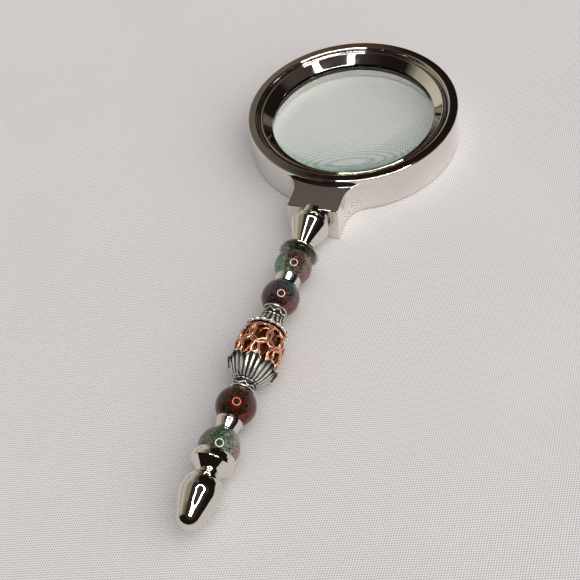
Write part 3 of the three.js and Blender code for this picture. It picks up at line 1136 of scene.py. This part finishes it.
finished(bead("stone_bead_1", BEAD_1), stone_1, "bead_1", "bead_1_stone", "bead_1")
flank_1 = rounded([(3.2, 60.55, 0.15), (3.28, 60.85, 0.2), (2.85, 62.9, 0.12)], loop=False)
spool_1 = spacer("spool_1", BEAD_1, BEAD_2, 3.0, flank_1, 3.0)
finished(spool_1, satin, "spacer_1", "bright_plate", "spacer_1")
finished(bead("stone_bead_2", BEAD_2), stone_2, "bead_2", "bead_2_stone", "bead_2")
fluted_cap = bead_cap("fluted_cap", UPPER_CAP, BEAD_2, upper_ribs)
finished(fluted_cap, silver, "upper_cap", "antique_silver", "upper_bead_cap")
finished(filigree(), copper_wire(), "filigree", "copper_wire", "filigree_bead")
shell_cap = bead_cap("shell_cap", LOWER_CAP, BEAD_3, lower_ribs)
finished(shell_cap, silver, "lower_cap", "antique_silver", "lower_bead_cap")
finished(bead("stone_bead_3", BEAD_3), stone_3, "bead_3", "bead_3_stone", "bead_3")
flank_2 = rounded([(3.1, 104.1, 0.12), (3.1, 104.8, 0.3), (2.35, 106.75, 0.1)], loop=False)
spool_2 = spacer("spool_2", BEAD_3, BEAD_4, 3.0, flank_2, 2.3)
finished(spool_2, satin, "spacer_2", "bright_plate", "spacer_2")
finished(bead("stone_bead_4", BEAD_4), stone_4, "bead_4", "bead_4_stone", "bead_4")
finished(finial_dish(), turned_chrome, "finial_cup", "bright_plate", "finial_cup")
finished(finial_bullet(), turned_chrome, "finial_tip", "bright_plate", "finial_tip")


# ---- stage ----
ROOM_LEVEL = 0.51
WINDOW_LEVEL = 1.77

# soft-edged round patches that mirrors see, later ones over earlier ones: the way to the patch, its
# inner and outer edges in degrees from its middle, and its colour
GLOW_PATCHES = (
    (LAMP_WAY, 20.0, 50.0, (0.050, 0.036, 0.041)),
    ((-0.27, 0.55, 0.79), 6.5, 8.5, (0.125, 0.105, 0.09)),
    ((-0.42, 0.68, 0.60), 5.5, 9.0, (0.14, 0.12, 0.10)),
    ((-0.29, 0.78, 0.555), 1.5, 4.5, (0.12, 0.07, 0.04)),
    ((0.64, 0.17, 0.75), 8.0, 20.0, (0.06, 0.05, 0.045)),
    ((0.314, 0.925, 0.215), 6.0, 10.0, (0.14, 0.12, 0.10)),
    (LAMP_WAY, 15.0, 22.0, (0.062, 0.044, 0.046)),
    ((-0.28, 0.92, 0.28), 8.0, 18.0, (0.15, 0.075, 0.032)),
)


def staged(name, corners, faces, material, lights_cloth=True):
    """A stage object from corners in millimetres."""
    mesh = bpy.data.meshes.new(name)
    mesh.from_pydata([Vector(c) * MM for c in corners], [], faces)
    mesh.materials.append(material)
    made = bpy.data.objects.new(name, mesh)
    made.visible_diffuse = lights_cloth
    bpy.context.scene.collection.objects.link(made)


def cloth_floor():
    """A pale woven cloth under the object."""
    material, tree, output = new_material("pale_cloth")
    place = object_place(tree)
    turn = (0, 0, math.radians(WEAVE_TURN))
    threads = node(tree, "Mapping", {"Vector": place, "Rotation": turn}).outputs[0]
    split = node(tree, "SeparateXYZ", {0: threads})
    waves = []
    for axis, pitch in zip("XY", WEAVE_PITCH):
        phase = maths(tree, "MULTIPLY", split.outputs[axis], 2 * math.pi / pitch)
        waves.append(maths(tree, "COSINE", phase))
    weave = ramp(tree, maths(tree, "MULTIPLY", *waves), [(0.0, 0.0), (0.7, 1.0)])
    soft = noise(tree, place, 0.02, 2.0)
    cloth = mix(tree, soft, (0.60, 0.58, 0.57), (0.66, 0.64, 0.63))
    cloth = mix(tree, maths(tree, "MULTIPLY", weave, 0.8), cloth, (0.25, 0.235, 0.24))
    principled(
        tree,
        output,
        {
            "Base Color": cloth,
            "Roughness": 0.85,
            "Sheen Weight": 0.1,
            "Normal": bump(tree, 0.3, 0.1, maths(tree, "SUBTRACT", 1.0, weave)),
        },
    )
    signs = ((-1, -1), (1, -1), (1, 1), (-1, 1))
    corners = [(x * FLOOR_HALF, y * FLOOR_HALF, FLOOR_HEIGHT) for x, y in signs]
    staged("cloth_floor", corners, [(0, 1, 2, 3)], material)


def ring_lamp():
    """A ring light above the object; only shiny faces see it."""
    middle_r = LAMP_DISTANCE * math.tan(math.radians(LAMP_ANGLE))
    half_width = LAMP_DISTANCE * math.tan(math.radians(LAMP_HALF_ANGLE))
    centre = LAMP_WAY * LAMP_DISTANCE
    side = LAMP_WAY.cross(Vector((0, 1, 0))).normalized()
    up = side.cross(LAMP_WAY).normalized()
    corners, faces = [], []
    count = 90
    for i in range(count):
        angle = 2 * math.pi * i / count
        way = side * math.cos(angle) + up * math.sin(angle)
        corners.append(centre + way * (middle_r - half_width))
        corners.append(centre + way * (middle_r + half_width))
        j = (i + 1) % count
        faces.append([2 * i, 2 * i + 1, 2 * j + 1, 2 * j])
    material, tree, output = new_material("lamp_glow")
    glow = node(tree, "Emission", {"Color": (1.0, 0.97, 0.94, 1), "Strength": 22.0})
    tree.links.new(glow.outputs[0], output.inputs["Surface"])
    staged("ring_lamp", corners, faces, material, lights_cloth=False)


def mirrored_room(tree, way):
    """What mirrors see: a dim brown room with a cream wall at the left and soft bright patches."""
    split = node(tree, "SeparateXYZ", {0: way})
    x, y, z = (split.outputs[axis] for axis in "XYZ")
    cream, dim_cream, shade = (0.60, 0.54, 0.46), (0.30, 0.265, 0.215), (0.013, 0.009, 0.0075)
    wall_lean = 0.62
    leftwards = maths(tree, "MULTIPLY", x, -1.0)
    lean = maths(tree, "SUBTRACT", leftwards, maths(tree, "MULTIPLY", z, wall_lean))
    wall_edge = ramp(tree, maths(tree, "ADD", lean, 0.5), [(0.38, 0.0), (0.58, 1.0)], "EASE")
    wall_end = ramp(tree, maths(tree, "ADD", y, 0.5), [(0.18, 0.0), (0.38, 1.0)])
    wall = ramp(tree, z, [(0.3, cream), (0.62, dim_cream)])
    seen = mix(tree, maths(tree, "MULTIPLY", wall_edge, wall_end), shade, wall)
    horizon = ramp(tree, z, [(0.03, 0.0), (0.07, 1.0)])
    seen = mix(tree, horizon, shade, seen)
    for towards, inner, outer, colour in GLOW_PATCHES:
        near = vector_maths(tree, "DOT_PRODUCT", way, tuple(Vector(towards).normalized()))
        edges = [(math.cos(math.radians(outer)), 0.0), (math.cos(math.radians(inner)), 1.0)]
        seen = mix(tree, ramp(tree, near, edges, "EASE"), seen, colour)
    return seen


def room():
    """A pale surround, brighter at the right, lights the scene; mirrors see a dim brown room."""
    world = bpy.data.worlds.new("room")
    bpy.context.scene.world = world
    world.use_nodes = True
    world.cycles.sampling_method = "NONE"
    tree = world.node_tree
    tree.nodes.clear()
    output = node(tree, "OutputWorld")
    way = node(tree, "TexCoord").outputs["Generated"]
    dim_room = node(tree, "Background", {"Color": mirrored_room(tree, way), "Strength": 1.0})
    window_way = tuple(Vector((0.80, -0.15, 0.58)).normalized())
    facing_window = vector_maths(tree, "DOT_PRODUCT", way, window_way)
    window = ramp(tree, facing_window, [(0.3, 0.0), (0.95, 1.0)], "EASE")
    level = maths(tree, "ADD", ROOM_LEVEL, maths(tree, "MULTIPLY", window, WINDOW_LEVEL))
    pale = node(tree, "Background", {"Color": (1.0, 0.978, 0.97, 1), "Strength": level})
    ray = node(tree, "LightPath")
    lighting = maths(tree, "MINIMUM", ray.outputs["Diffuse Depth"], 1.0)
    both = node(tree, "MixShader", {0: lighting, 1: dim_room.outputs[0], 2: pale.outputs[0]})
    backdrop = node(tree, "Background", {"Color": (0.62, 0.60, 0.59, 1), "Strength": 1.0})
    direct = ray.outputs["Is Camera Ray"]
    everything = node(tree, "MixShader", {0: direct, 1: both.outputs[0], 2: backdrop.outputs[0]})
    tree.links.new(everything.outputs[0], output.inputs["Surface"])


def camera():
    """The camera, at the place and angle the object is seen from."""
    data = bpy.data.cameras.new("camera")
    data.sensor_width = SENSOR_WIDTH
    data.lens = FOCAL_LENGTH
    data.clip_start = 0.01
    made = bpy.data.objects.new("camera", data)
    bpy.context.scene.collection.objects.link(made)
    made.matrix_world = Matrix.Translation(CAMERA_PLACE * MM) @ CAMERA_TURN.to_4x4()
    bpy.context.scene.camera = made


cloth_floor()
ring_lamp()
room()
camera()
bpy.context.scene.view_settings.view_transform = "Standard"
